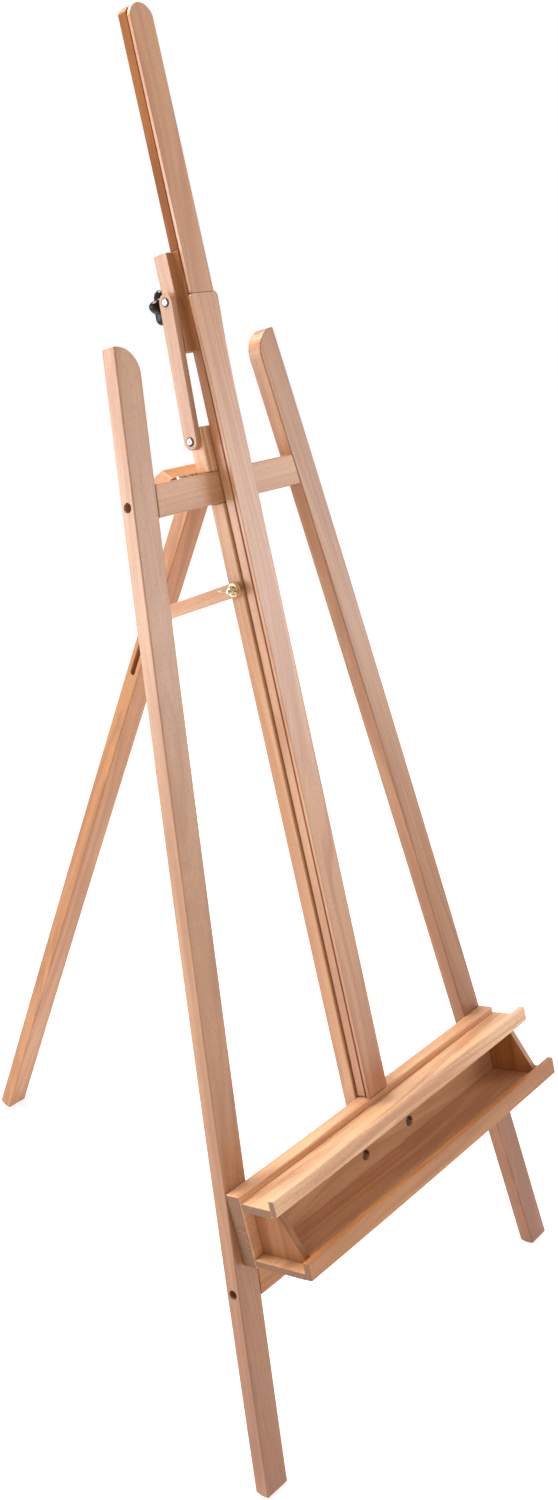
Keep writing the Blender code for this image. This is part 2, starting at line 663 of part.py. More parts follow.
def clamp_knob(body, origin, plastic, steel):
    """A lobed hand knob on a bolt that presses against the mast."""
    z = KNOB_HEIGHT - origin.z
    start = -0.0002 - origin.y
    bolt_profile = [(0, 0), (SHANK * 0.8, 0), (SHANK, 0.0006), (SHANK, 0.0445), (0, 0.0445)]
    solid("clamp_bolt", lathe(bolt_profile), body, steel, (0, start, z), ALONG_Y, smooth=True)
    points = KNOB_LOBES * 12
    outline = []
    for i in range(points):
        angle = 2 * math.pi * i / points
        radius = KNOB_RADIUS - KNOB_WAVE * (1 - math.cos(KNOB_LOBES * (angle - KNOB_TURN)))
        outline.append((radius * math.cos(angle), radius * math.sin(angle)))
    seat = (0, 0.0277 - origin.y, z)
    knob = solid("clamp_knob", prism(outline, "z", 0.012, 0.027), body, plastic, seat, ALONG_Y)
    ease_edges(knob, 0.0015, 1)
    hub = solid("cut_clamp_knob_hub", lathe([(0, 0), (0.009, 0), (0.0125, 0.014), (0, 0.014)]), knob)
    combine(knob, hub, "UNION")
    combine(knob, solid("cut_clamp_knob_bore", rod(CLEARANCE_HOLE, -0.01, 0.0175), knob), "DIFFERENCE")
    return knob


def link(name, body, side, length, wood):
    """A flat bar with round ends and a pivot hole at each end."""
    inner, outer = sorted((side * LINK_INNER, side * (LINK_INNER + LINK_THICKNESS)))
    obj = solid(name, prism(bar_outline(length, LINK_WIDTH, steps=10), "x", inner, outer), body, wood)
    ease_edges(obj, FINE_ARRIS)
    for label, z in (("lower", 0), ("upper", length)):
        cut(obj, label, rod(CLEARANCE_HOLE, -0.06, 0.06), (0, 0, z), ALONG_X)


# ---------------------------------------------------------------- rear leg and stay


def rear_leg(body, frame_matrix, wood):
    """The rear leg with a tenon at its top and a slot for the stay's bolt."""
    low = (-REAR_HALF_WIDTH, REAR_FRONT, -REAR_LENGTH)
    bm = box(low, (REAR_HALF_WIDTH, REAR_BACK, REAR_HEAD_BOTTOM - GAP))
    trim_below_floor(bm, frame_matrix, 0)
    leg = solid("rear_leg", bm, body, wood)
    ease_edges(leg, ARRIS)
    middle, cheek = (REAR_FRONT + REAR_BACK) / 2, 0.004
    tenon = box((-0.014, middle - cheek, REAR_HEAD_BOTTOM - 0.02), (0.014, middle + cheek, -0.012))
    combine(leg, solid("cut_rear_leg_tenon", tenon, body), "UNION")
    radius = SLOT_WIDTH / 2
    slot = arc((SLOT_CENTRE, SLOT_BOTTOM), radius, 180, 360, 10)
    slot += arc((SLOT_CENTRE, SLOT_TOP), radius, 0, 180, 10)
    cut(leg, "slot", prism(slot, "x", -0.03, 0.03))
    return leg


def rear_leg_head(body, wood):
    """The crosspiece that the rear leg hangs from, with its top corners cut off."""
    half, top, chamfer = REAR_HEAD_HALF_WIDTH, -0.001, REAR_HEAD_CHAMFER
    outline = [(-half, REAR_HEAD_BOTTOM), (half, REAR_HEAD_BOTTOM), (half, top - chamfer)]
    outline += [(half - chamfer, top), (chamfer - half, top), (-half, top - chamfer)]
    head = solid("rear_leg_head", prism(outline, "y", REAR_FRONT, REAR_BACK), body, wood)
    ease_edges(head, ARRIS)
    middle, cheek = (REAR_FRONT + REAR_BACK) / 2, 0.004 + GAP
    low = (-0.014 - GAP, middle - cheek, REAR_HEAD_BOTTOM - 0.01)
    high = (0.014 + GAP, middle + cheek, -0.0117)
    cut(head, "mortise", box(low, high))


def hinge_leaf(name, body, side, plate, knuckles, steel):
    """A hinge leaf on the X axis of its body's frame: a comb-shaped plate with rolled knuckles."""
    centre = side * HINGE_CENTRE
    third = HINGE_HALF_WIDTH * 2 / 3
    edges = [centre - HINGE_HALF_WIDTH + third * i for i in range(4)]
    root, tip, slack, flush = -0.004, 0.0003, 0.0002, 0.00005
    top = []
    for i in range(3):
        level = tip if i in knuckles else root
        inset_low = slack if i in knuckles and i > 0 else (-slack if i > 0 else 0)
        inset_high = slack if i in knuckles and i < 2 else (-slack if i < 2 else 0)
        top += [(edges[i] + inset_low, level), (edges[i + 1] - inset_high, level)]
    outline = [(edges[0], -0.033), *top, (edges[3], -0.033)]
    leaf = solid(name, prism(outline, "y", *plate), body, steel)
    for i in knuckles:
        low = edges[i] + (slack if i > 0 else 0) + flush
        high = edges[i + 1] - (slack if i < 2 else 0) - flush
        knuckle = rod(KNUCKLE_RADIUS, low, high)
        barrel = solid(f"cut_{name}_knuckle_{i}", knuckle, body, rotation=ALONG_X)
        combine(leaf, barrel, "UNION")
    cut(leaf, "pin", rod(HINGE_PIN + GAP, -0.1, 0.1, 10), (0, 0, 0), ALONG_X)


def hinges(frame_hinge, body, steel):
    """Two butt hinges between the upper crossbar and the rear leg's head."""
    thickness = 0.0014
    for label, side in (("left", -1), ("right", 1)):
        outside = KNUCKLE_RADIUS - 0.00015
        frame_plate = (-outside, -outside + thickness)
        leg_plate = (outside - thickness, outside)
        hinge_leaf(f"hinge_frame_leaf_{label}", frame_hinge, side, frame_plate, (0, 2), steel)
        hinge_leaf(f"hinge_leg_leaf_{label}", body, side, leg_plate, (1,), steel)
        low = side * HINGE_CENTRE - HINGE_HALF_WIDTH - 0.0005
        pin = rod(HINGE_PIN, low, low + 2 * HINGE_HALF_WIDTH + 0.001, 10)
        solid(f"hinge_pin_{label}", pin, frame_hinge, steel, (0, 0, 0), ALONG_X, smooth=True)


def stay(body, length, wood):
    """The bar that holds the rear leg open."""
    radius = STAY_WIDTH / 2
    outline = arc((radius - STAY_OVERHANG, 0), radius, 90, 270, 10) + arc((length, 0), radius, -90, 90, 10)
    faces = (-STAY_INNER - STAY_THICKNESS, -STAY_INNER)
    bar = solid("stay_bar", prism(outline, "x", *faces), body, wood)
    ease_edges(bar, FINE_ARRIS)
    for label, y in (("pivot", 0), ("slot", length)):
        cut(bar, label, rod(CLEARANCE_HOLE, -0.05, 0.05), (0, y, 0), ALONG_X)


def stay_fasteners(frame, body, length, steel, brass):
    """A bolt and wing nut at the rail, and a bolt and hexagon nut at the rear leg's slot."""
    head = RAIL_HALF_WIDTH + GAP
    bolt("stay_bolt", frame, steel, (head, STAY_PIVOT.y, STAY_PIVOT.z), ALONG_MINUS_X, head + 0.0425, 0.007)
    face = -STAY_INNER - STAY_THICKNESS - GAP
    place = (face, STAY_PIVOT.y, STAY_PIVOT.z)
    wing_nut("stay_wing_nut", frame, brass, place, ALONG_MINUS_X_TURNED)
    head = REAR_HALF_WIDTH + GAP
    bolt("slot_bolt", body, steel, (head, length, 0), ALONG_MINUS_X, head + 0.0465, 0.0075)
    nut = solid("slot_nut", hexagon(0.010, 0, 0.005), body, steel, (face, length, 0), ALONG_MINUS_X)
    ease_edges(nut, 0.0005, 1)
    combine(nut, solid("cut_slot_nut_bore", rod(CLEARANCE_HOLE, -0.01, 0.02), nut), "DIFFERENCE")


# ---------------------------------------------------------------- assembly


def stance():
    """Where the leaning frame stands, so that the easel is centred over the origin with its feet on Z = 0."""
    rear_corner_drop = BOARD * math.sin(LEAN) - FOOT_CUT
    hinge_y = HINGE.y * math.cos(LEAN) + HINGE.z * math.sin(LEAN)
    slope = LEG_OPENING - LEAN
    rear_foot_y = hinge_y + REAR_LENGTH * math.sin(slope) + REAR_BACK * math.cos(slope)
    return Vector((0, -rear_foot_y / 2, rear_corner_drop))


def mast_parts(frame, wood, dark_plastic, steel):
    foot = Vector((0, FOOT_PIN_Y, FOOT_PIN_Z))
    mast_body = empty("axis_mast_tilt", frame, foot)
    mast(mast_body, foot, wood)
    pin = rod(FOOT_PIN_RADIUS, -0.014, NECK_HALF_WIDTH, 16)
    solid("mast_foot_pin", pin, mast_body, steel, (0, 0, 0), ALONG_X, smooth=True)
    mast_extension(frame, wood)
    mast_tongue(frame, wood)
    reach = LINK_UPPER - LINK_LOWER
    turn = (math.atan2(-reach.y, reach.z), 0, 0)
    for label, side in (("left", -1), ("right", 1)):
        link_body = empty(f"axis_link_{label}", frame, LINK_LOWER, turn)
        link(f"link_{label}", link_body, side, reach.length, wood)
    block_body = empty("axis_clamp_block", frame, LINK_UPPER)
    clamp_block(block_body, LINK_UPPER, wood)
    clamp_knob(block_body, LINK_UPPER, dark_plastic, steel)
    for label, side in (("left", -1), ("right", 1)):
        pivot_screw(f"link_screw_lower_{label}", frame, steel, LINK_LOWER.y, LINK_LOWER.z, side)
        pivot_screw(f"link_screw_upper_{label}", block_body, steel, 0, 0, side)


def rear_parts(frame, wood, steel, brass):
    frame_hinge = empty("axis_rear_leg", frame, HINGE)
    leg_body = empty("axis_rear_leg_open", frame, HINGE, (LEG_OPENING, 0, 0))
    bpy.context.view_layer.update()
    rear_leg(leg_body, leg_body.matrix_world, wood)
    rear_leg_head(leg_body, wood)
    hinges(frame_hinge, leg_body, steel)
    turned = Matrix.Rotation(LEG_OPENING, 3, "X")
    slot_bolt = HINGE + turned @ Vector((0, SLOT_CENTRE, SLOT_TOP))
    reach = slot_bolt - STAY_PIVOT
    stay_body = empty("axis_stay", frame, STAY_PIVOT, (math.atan2(reach.z, reach.y), 0, 0))
    stay(stay_body, reach.length, wood)
    stay_fasteners(frame, stay_body, reach.length, steel, brass)


def main():
    clear_scene()
    wood = principled("beech", (0.62, 0.36, 0.19), 0.5)
    light_wood = principled("beech_light", (0.66, 0.40, 0.22), 0.5)
    steel = principled("zinc_plated_steel", (0.62, 0.62, 0.6), 0.35, 1.0)
    brass = principled("brass", (0.72, 0.5, 0.2), 0.3, 1.0)
    dark_plastic = principled("black_plastic", (0.015, 0.015, 0.017), 0.25)
    frame = empty("leaning_frame", None, stance(), (-LEAN, 0, 0))
    bpy.context.view_layer.update()
    for side in (-1, 1):
        front_leg(side, frame, wood)
    for label, top in (("upper", UPPER_BAR_TOP), ("lower", LOWER_BAR_TOP)):
        crossbar(f"{label}_crossbar", top, frame, wood)
        bar_fasteners(label, top, frame, steel)
    centre_rail(frame, wood)
    head_post(frame, wood)
    rail_fasteners(frame, steel)
    tray_back_board(frame, light_wood)
    tray_boards(frame, light_wood)
    tray_clamp(frame, wood, steel, brass)
    mast_foot_eye(frame, steel)
    mast_parts(frame, light_wood, dark_plastic, steel)
    rear_parts(frame, wood, steel, brass)


main()
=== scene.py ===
"""Looks of the wooden artist easel: beech boards, zinc, brass and black plastic hardware, studio light."""

import json
import math

import bmesh
import bpy
import numpy as np
from mathutils import Matrix, Vector


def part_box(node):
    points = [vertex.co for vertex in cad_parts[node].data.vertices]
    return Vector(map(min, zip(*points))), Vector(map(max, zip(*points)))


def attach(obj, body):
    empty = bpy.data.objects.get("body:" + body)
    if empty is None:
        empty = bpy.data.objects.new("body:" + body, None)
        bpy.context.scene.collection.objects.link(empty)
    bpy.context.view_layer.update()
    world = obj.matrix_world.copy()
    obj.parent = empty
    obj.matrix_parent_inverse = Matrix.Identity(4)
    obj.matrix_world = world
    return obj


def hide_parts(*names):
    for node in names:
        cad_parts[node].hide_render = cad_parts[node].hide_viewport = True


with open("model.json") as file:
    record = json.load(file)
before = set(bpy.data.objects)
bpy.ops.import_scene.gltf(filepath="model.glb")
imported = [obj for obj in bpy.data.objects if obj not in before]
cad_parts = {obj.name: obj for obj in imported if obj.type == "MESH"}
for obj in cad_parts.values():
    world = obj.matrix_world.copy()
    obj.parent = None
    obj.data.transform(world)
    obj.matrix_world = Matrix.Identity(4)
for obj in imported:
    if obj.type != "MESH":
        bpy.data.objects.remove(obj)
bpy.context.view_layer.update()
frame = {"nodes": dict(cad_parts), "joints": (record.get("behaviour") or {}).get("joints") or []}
NODES = frame["nodes"]
JOINTS = {joint["name"]: joint for joint in frame["joints"]}
UP = Vector(JOINTS["tray_height"]["axis"]).normalized()
BACK = Vector(JOINTS["clamp_knob_turn"]["axis"]).normalized()
SIDE = Vector((1, 0, 0))
ROD_RADIUS = 0.003
WASHER_BORE = 0.0033
WASHER_THICKNESS = 0.0009
# height where the painted shade on the lower boards begins
PAINTED_SHADE_TOP = 0.85
FLOOR_SIZE = 400
FLOOR_GLOW = 0.68

# camera: metres, degrees and millimetres on the sensor
CAMERA_PLACE = (-1.44662, -1.28125, 1.72547)
CAMERA_AZIMUTH = 51.528
CAMERA_ELEVATION = -23.896
CAMERA_ROLL = 2.906
LENS = 35.53
LENS_CUBIC = 4.017e-6
LENS_QUARTIC = -6.342e-8


def pivot(joint):
    return Vector(JOINTS[joint]["pos_m"])


# ---------------------------------------------------------------- node helpers


class Graph:
    """Short-hand for building a node tree."""

    def __init__(self, tree):
        self.tree = tree

    def feed(self, socket, value):
        """Links an output to the socket, or sets a constant on it."""
        if isinstance(value, bpy.types.NodeSocket):
            self.tree.links.new(value, socket)
        else:
            socket.default_value = value

    def node(self, kind, values=None, **settings):
        made = self.tree.nodes.new(kind)
        for key, value in settings.items():
            setattr(made, key, value)
        for key, value in (values or {}).items():
            self.feed(made.inputs[key], value)
        return made

    def math(self, operation, a, b=0.0, clamp=False):
        return self.node("ShaderNodeMath", {0: a, 1: b}, operation=operation, use_clamp=clamp).outputs[0]

    def scaled(self, vector, scale):
        return self.node("ShaderNodeVectorMath", {0: vector, 1: scale}, operation="MULTIPLY").outputs[0]

    def noise(self, vector, scale, detail=2.0, roughness=0.5):
        values = {"Vector": vector, "Scale": scale, "Detail": detail, "Roughness": roughness}
        return self.node("ShaderNodeTexNoise", values).outputs["Fac"]

    def span(self, value, low, high, to_low=0.0, to_high=1.0):
        values = {"Value": value, "From Min": low, "From Max": high, "To Min": to_low, "To Max": to_high}
        return self.node("ShaderNodeMapRange", values, interpolation_type="SMOOTHSTEP").outputs[0]

    def blend(self, factor, a, b, mode="MIX"):
        mix = self.node("ShaderNodeMix", data_type="RGBA", blend_type=mode)
        for index, value in ((0, factor), (6, a), (7, b)):
            self.feed(mix.inputs[index], value)
        return mix.outputs[2]


def rgb(red, green, blue):
    """An sRGB colour in 0 to 255 as linear RGBA."""
    linear = [((c / 255 + 0.055) / 1.055) ** 2.4 if c > 10 else c / 255 / 12.92 for c in (red, green, blue)]
    return (*linear, 1.0)


def new_material(name, **shader_values):
    material = bpy.data.materials.new(name)
    material.use_nodes = True
    graph = Graph(material.node_tree)
    shader = material.node_tree.nodes["Principled BSDF"]
    for key, value in shader_values.items():
        shader.inputs[key.replace("_", " ")].default_value = value
    return material, graph, shader


# ---------------------------------------------------------------- materials


def beech_group():
    """Colour, roughness and height of beech, in a frame whose Z runs along the grain."""
    tree = bpy.data.node_groups.new("beech", "ShaderNodeTree")
    tree.interface.new_socket("Vector", in_out="INPUT", socket_type="NodeSocketVector")
    tree.interface.new_socket("End", in_out="INPUT", socket_type="NodeSocketFloat")
    tree.interface.new_socket("Light", in_out="INPUT", socket_type="NodeSocketColor")
    tree.interface.new_socket("Dark", in_out="INPUT", socket_type="NodeSocketColor")
    tree.interface.new_socket("Color", in_out="OUTPUT", socket_type="NodeSocketColor")
    tree.interface.new_socket("Roughness", in_out="OUTPUT", socket_type="NodeSocketFloat")
    tree.interface.new_socket("Height", in_out="OUTPUT", socket_type="NodeSocketFloat")
    g = Graph(tree)
    given = g.node("NodeGroupInput").outputs
    place, end = given["Vector"], given["End"]
    # slow wander of the grain, and growth figure that follows it
    wander = g.noise(g.scaled(place, (1.0, 1.0, 0.10)), 9.0, 2.0)
    drift = g.node("ShaderNodeCombineXYZ", {0: g.math("MULTIPLY", wander, 0.16)}).outputs[0]
    moved = g.node("ShaderNodeVectorMath", {0: place, 1: drift}, operation="ADD").outputs[0]
    figure = g.noise(g.scaled(moved, (1.0, 0.35, 0.012)), 150.0, 3.0, 0.55)
    broad = g.noise(g.scaled(place, (1.0, 1.0, 0.16)), 14.0, 3.0, 0.6)
    fibres = g.noise(g.scaled(moved, (1.0, 1.0, 0.014)), 950.0, 2.0, 0.6)
    flecks = g.noise(g.scaled(place, (1.0, 1.0, 0.14)), 1500.0, 1.0, 0.4)
    fleck_mask = g.span(flecks, 0.60, 0.72)
    pores = g.span(g.noise(g.scaled(place, (1.0, 1.0, 0.05)), 2600.0, 1.0), 0.62, 0.75)
    # end grain: growth arcs round a centre that lies off the board
    rings = g.node(
        "ShaderNodeTexWave",
        {"Vector": moved, "Scale": 95.0, "Distortion": 2.2, "Detail": 2.0, "Detail Scale": 1.4},
        wave_type="RINGS",
        rings_direction="Z",
        wave_profile="SAW",
    ).outputs["Fac"]
    speckle = g.noise(place, 1400.0, 2.0, 0.6)
    tone = g.math("ADD", g.math("MULTIPLY", figure, 0.62), g.math("MULTIPLY", broad, 0.38))
    face = g.blend(g.span(tone, 0.40, 0.60), given["Light"], given["Dark"])
    face = g.blend(g.math("MULTIPLY", g.span(fibres, 0.42, 0.72), 0.22), face, given["Dark"])
    fleck_colour = g.blend(0.5, given["Dark"], rgb(100, 52, 24))
    face = g.blend(g.math("MULTIPLY", fleck_mask, 0.60), face, fleck_colour)
    face = g.blend(g.math("MULTIPLY", pores, 0.22), face, rgb(96, 54, 28))
    cut = g.blend(g.math("MULTIPLY", rings, 0.65), rgb(146, 108, 82), rgb(112, 76, 52))
    cut = g.blend(g.math("MULTIPLY", g.span(speckle, 0.45, 0.70), 0.30), cut, rgb(84, 48, 26))
    colour = g.blend(end, face, cut)
    rough = g.math("ADD", g.math("MULTIPLY", broad, 0.14), g.math("MULTIPLY", fibres, 0.16))
    rough = g.math("ADD", g.math("ADD", rough, 0.34), g.math("MULTIPLY", end, 0.16))
    height = g.math("SUBTRACT", g.math("MULTIPLY", fibres, 0.7), g.math("MULTIPLY", fleck_mask, 0.35))
    height = g.math("SUBTRACT", height, g.math("MULTIPLY", pores, 0.5))
    g.node("NodeGroupOutput", {"Color": colour, "Roughness": rough, "Height": height})
    return tree


BEECH = beech_group()
# light and dark tones of the figure, and how much satin finish lies on top
TONES = {
    "mast": (rgb(196, 142, 100), rgb(178, 118, 76), 0.8),
    # painted shadow: a darker tone with no satin finish, laid on the shaded rear of the mast extension
    "painted_shadow": (rgb(148, 92, 46), rgb(130, 74, 34), 0.0),
    "tan": (rgb(178, 126, 82), rgb(158, 102, 60), 0.5),
    "pink": (rgb(188, 138, 100), rgb(168, 114, 76), 0.6),
    "warm": (rgb(198, 146, 102), rgb(182, 124, 82), 0.5),
    "amber": (rgb(184, 122, 66), rgb(160, 98, 46), 0.4),
    "shelf": (rgb(232, 184, 140), rgb(196, 138, 94), 0.45),
    # painted light: a paler tone on the tray's back board and bottom shelf, which lie in the tray's shaded
    # interior
    "inner_painted_light": (rgb(222, 170, 126), rgb(200, 144, 102), 0.3),
    # dark brown tone for the tray's left end, and painted shadow on the front of the clamp block
    "deep_and_painted_shadow": (rgb(168, 110, 68), rgb(142, 86, 46), 0.1),
}


# boards with painted shade: their colour is made darker towards the floor
PAINTED_SHADE_BELOW = ("front_leg_left", "front_leg_right", "mast")
# boards with a painted shadow as their other tone: the tone, and the depths behind the board's front where
# it starts and is full
PAINTED_SHADOW_TONES = {
    "mast_extension": ("painted_shadow", 0.0054, 0.0058),
    "clamp_block": ("deep_and_painted_shadow", 0.0102, 0.0098),
}


def grain_frame(node, grain):
    """Rows are the board's own axes: width, thickness and, last, the grain."""
    points = np.array([vert.co for vert in NODES[node].data.vertices])
    if grain is None:
        _, _, axes = np.linalg.svd(points - points.mean(axis=0), full_matrices=False)
        grain = Vector(axes[0])
    width = SIDE if abs(grain.normalized().dot(SIDE)) < 0.7 else UP
    thickness = grain.cross(width).normalized()
    return Matrix((thickness.cross(grain).normalized(), thickness, grain.normalized()))


def board_tones(g, name, tone, place):
    """Light and dark of the figure, finish and gloss, with a painted shadow as the other tone where a board
    has one.
    """
    light, dark, finish = TONES[tone]
    gloss = 0.2 + 0.6 * finish
    if name in PAINTED_SHADOW_TONES:
        other, start, full = PAINTED_SHADOW_TONES[name]
        other_light, other_dark, other_finish = TONES[other]
        front = min(vert.co.dot(BACK) for vert in NODES[name].data.vertices)
        depth = {0: place, 1: tuple(BACK)}
        depth = g.node("ShaderNodeVectorMath", depth, operation="DOT_PRODUCT").outputs["Value"]
        # painted shadow: a darker, less glossy tone blended in by depth behind the board's front
        painted_shadow_mix = g.span(depth, front + start, front + full)
        light = g.blend(painted_shadow_mix, light, other_light)
        dark = g.blend(painted_shadow_mix, dark, other_dark)
        finish = g.span(painted_shadow_mix, 0.0, 1.0, finish, other_finish)
        gloss = g.span(painted_shadow_mix, 0.0, 1.0, gloss, 0.12)
    return light, dark, finish, gloss


def beech(name, tone, axes, seed):
    """Oiled beech for one board, its figure shifted by the seed so that no two boards match."""
    material, g, shader = new_material(f"beech_{name}", Coat_Roughness=0.3)
    coordinates = g.node("ShaderNodeTexCoord").outputs
    shift = Vector((math.sin(seed * 2.3), math.cos(seed * 1.7), math.sin(seed * 0.9 + 1.0))) * 0.7
    values = {"Vector": coordinates["Object"], "Rotation": axes.to_euler(), "Location": shift}
    place = g.node("ShaderNodeMapping", values).outputs[0]
    true = g.node("ShaderNodeNewGeometry").outputs["True Normal"]
    local = {"vector_type": "NORMAL", "convert_from": "WORLD", "convert_to": "OBJECT"}
    own = g.node("ShaderNodeVectorTransform", {0: true}, **local).outputs[0]
    facing = {0: own, 1: tuple(axes[2])}
    facing = g.node("ShaderNodeVectorMath", facing, operation="DOT_PRODUCT").outputs["Value"]
    end = g.span(g.math("ABSOLUTE", facing), 0.80, 0.97)
    wood = g.node("ShaderNodeGroup", node_tree=BEECH)
    light, dark, finish, gloss = board_tones(g, name, tone, coordinates["Object"])
    for key, value in (("Vector", place), ("End", end), ("Light", light), ("Dark", dark)):
        g.feed(wood.inputs[key], value)
    g.feed(shader.inputs["Specular IOR Level"], gloss)
    # a darker line is drawn along the arrises, and the end grain takes no finish
    soft = g.node("ShaderNodeBevel", {"Radius": 0.0014}, samples=4).outputs[0]
    shaded = g.node("ShaderNodeNewGeometry").outputs["Normal"]
    edge = g.node("ShaderNodeVectorMath", {0: soft, 1: shaded}, operation="DOT_PRODUCT").outputs["Value"]
    lined = g.math("MULTIPLY", g.span(edge, 0.995, 0.90), g.noise(place, 60.0, 3.0), clamp=True)
    colour = g.blend(g.math("MULTIPLY", lined, 0.85), wood.outputs["Color"], rgb(112, 64, 34))
    # painted shade: the colour is multiplied darker from the fade height down to the floor
    if name in PAINTED_SHADE_BELOW:
        height = g.node("ShaderNodeSeparateXYZ", {0: coordinates["Object"]}).outputs[2]
        low = g.math("MULTIPLY", g.span(height, PAINTED_SHADE_TOP, 0.0), 0.75)
        colour = g.blend(low, colour, rgb(204, 166, 114), "MULTIPLY")
    coat = g.math("MULTIPLY", g.math("SUBTRACT", 1.0, end), finish)
    g.tree.links.new(coat, shader.inputs["Coat Weight"])
    bump = {"Height": wood.outputs["Height"], "Strength": 0.35, "Distance": 0.00025, "Normal": soft}
    g.tree.links.new(colour, shader.inputs["Base Color"])
    g.tree.links.new(wood.outputs["Roughness"], shader.inputs["Roughness"])
    g.tree.links.new(g.node("ShaderNodeBump", bump).outputs[0], shader.inputs["Normal"])
    return material


def metal(name, base, tint, rough, **shader_values):
    """A metal with fine scratches, finger marks and darker spots."""
    material, g, shader = new_material(name, Metallic=1.0, **shader_values)
    place = g.node("ShaderNodeTexCoord").outputs["Object"]
    cloud = g.noise(place, 160.0, 3.0, 0.6)
    scratches = g.noise(g.scaled(place, (1.0, 0.12, 1.0)), 3200.0, 2.0, 0.6)
    spots = g.span(g.noise(place, 700.0, 2.0), 0.60, 0.74)
    colour = g.blend(g.span(cloud, 0.35, 0.70), base, tint)
    colour = g.blend(g.math("MULTIPLY", spots, 0.4), colour, tint, "MULTIPLY")
    varied = g.math("ADD", g.math("MULTIPLY", cloud, 0.22), g.math("MULTIPLY", scratches, 0.12))
    g.tree.links.new(colour, shader.inputs["Base Color"])
    g.tree.links.new(g.math("ADD", varied, rough), shader.inputs["Roughness"])
    bump = g.node("ShaderNodeBump", {"Height": scratches, "Strength": 0.2, "Distance": 0.00004})
    g.tree.links.new(bump.outputs[0], shader.inputs["Normal"])
    return material


def moulded_black():
    """Glossy black moulding with a faint orange-peel surface and paler rubbed patches."""
    finish = {"Coat_Weight": 0.05, "Coat_Roughness": 0.05, "Specular_IOR_Level": 0.2}
    material, g, shader = new_material("black_moulding", **finish)
    place = g.node("ShaderNodeTexCoord").outputs["Object"]
    peel = g.noise(place, 900.0, 2.0)
    rubbed = g.span(g.noise(place, 110.0, 3.0, 0.6), 0.45, 0.70)
    g.tree.links.new(g.blend(rubbed, rgb(8, 8, 9), rgb(18, 17, 18)), shader.inputs["Base Color"])
    g.tree.links.new(g.math("ADD", g.math("MULTIPLY", rubbed, 0.10), 0.10), shader.inputs["Roughness"])
    bump = g.node("ShaderNodeBump", {"Height": peel, "Strength": 0.18, "Distance": 0.0001})
    g.tree.links.new(bump.outputs[0], shader.inputs["Normal"])
    return material


STEEL = metal("zinc_plated", rgb(206, 206, 200), rgb(150, 150, 146), 0.20)
BRASS = metal("lacquered_brass", rgb(236, 218, 176), rgb(186, 152, 98), 0.10)
# painted shadow: a dark metal used only for the rings round the link screw heads
PAINTED_SHADOW_STEEL = metal("painted_shadow_ring_steel", rgb(66, 60, 54), rgb(40, 36, 32), 0.40)
BLACK = moulded_black()


def dress_boards():
    """Every wooden CAD node keeps its shape and gets its own beech."""
    longest = None
    boards = {
        "front_leg_left": ("pink", longest),
        "front_leg_right": ("tan", longest),
        "upper_crossbar": ("warm", SIDE),
        "lower_crossbar": ("amber", SIDE),
        "centre_rail": ("warm", UP),
        "head_post": ("shelf", UP),
        "rear_leg": ("amber", longest),
        "rear_leg_head": ("amber", SIDE),
        "stay_bar": ("warm", longest),
        "mast": ("mast", UP),
        "mast_extension": ("mast", UP),
        "mast_tongue": ("warm", UP),
        "clamp_block": ("pink", UP),
        "link_left": ("pink", longest),
        "link_right": ("pink", longest),
        "tray_back_board": ("inner_painted_light", SIDE),
        "tray_top_shelf": ("shelf", SIDE),
        "tray_top_lip": ("shelf", SIDE),
        "tray_bottom_shelf": ("inner_painted_light", SIDE),
        "tray_bottom_lip": ("amber", SIDE),
        "tray_end_left": ("deep_and_painted_shadow", UP),
        "tray_end_right": ("amber", UP),
        "tray_guide_left": ("warm", UP),
        "tray_guide_right": ("warm", UP),
        "tray_clamp_plate": ("amber", SIDE),
    }
    for seed, (name, (tone, grain)) in enumerate(boards.items()):
        set_material(NODES[name], beech(name, tone, grain_frame(name, grain), seed + 1))
    return set(boards)


def set_material(obj, material):
    obj.data.materials.clear()
    obj.data.materials.append(material)


# ---------------------------------------------------------------- mesh helpers


def piece(name, bm, material, body, place, axis, turn=0.0):
    """Makes an object from bm, with its Z along axis at place, and hangs it on a CAD body."""
    bmesh.ops.recalc_face_normals(bm, faces=bm.faces)
    mesh = bpy.data.meshes.new(name)
    bm.to_mesh(mesh)
    bm.free()
    obj = bpy.data.objects.new(name, mesh)
    bpy.context.scene.collection.objects.link(obj)
    facing = axis.to_track_quat("Z", "Y").to_matrix().to_4x4() @ Matrix.Rotation(turn, 4, "Z")
    obj.matrix_world = Matrix.Translation(place) @ facing
    mesh.materials.append(material)
    mesh.shade_smooth()
    mesh.set_sharp_from_angle(angle=math.radians(50))
    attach(obj, body)
    return obj


def rings_to_mesh(rings, bm=None):
    """Skins rings of points, each ring closed, and caps both ends with a fan."""
    bm = bm or bmesh.new()
    made = [[bm.verts.new(point) for point in ring] for ring in rings]
    count = len(made[0])
    for lower, upper in zip(made, made[1:]):
        for i in range(count):
            j = (i + 1) % count
            bm.faces.new((lower[i], lower[j], upper[j], upper[i]))
    for ring in (made[0], made[-1]):
        centre = bm.verts.new(sum((v.co for v in ring), Vector()) / count)
        for i in range(count):
            bm.faces.new((ring[i], ring[(i + 1) % count], centre))
    return bm


def turned(profile, segments=40, shape=lambda angle: 1.0):
    """Rings of a turned or lobed form from (radius, height) points."""
    rings = []
    for radius, z in profile:
        ring = []
        for i in range(segments):
            angle = 2 * math.pi * i / segments
            reach = radius * shape(angle)
            ring.append(Vector((reach * math.cos(angle), reach * math.sin(angle), z)))
        rings.append(ring)
    return rings


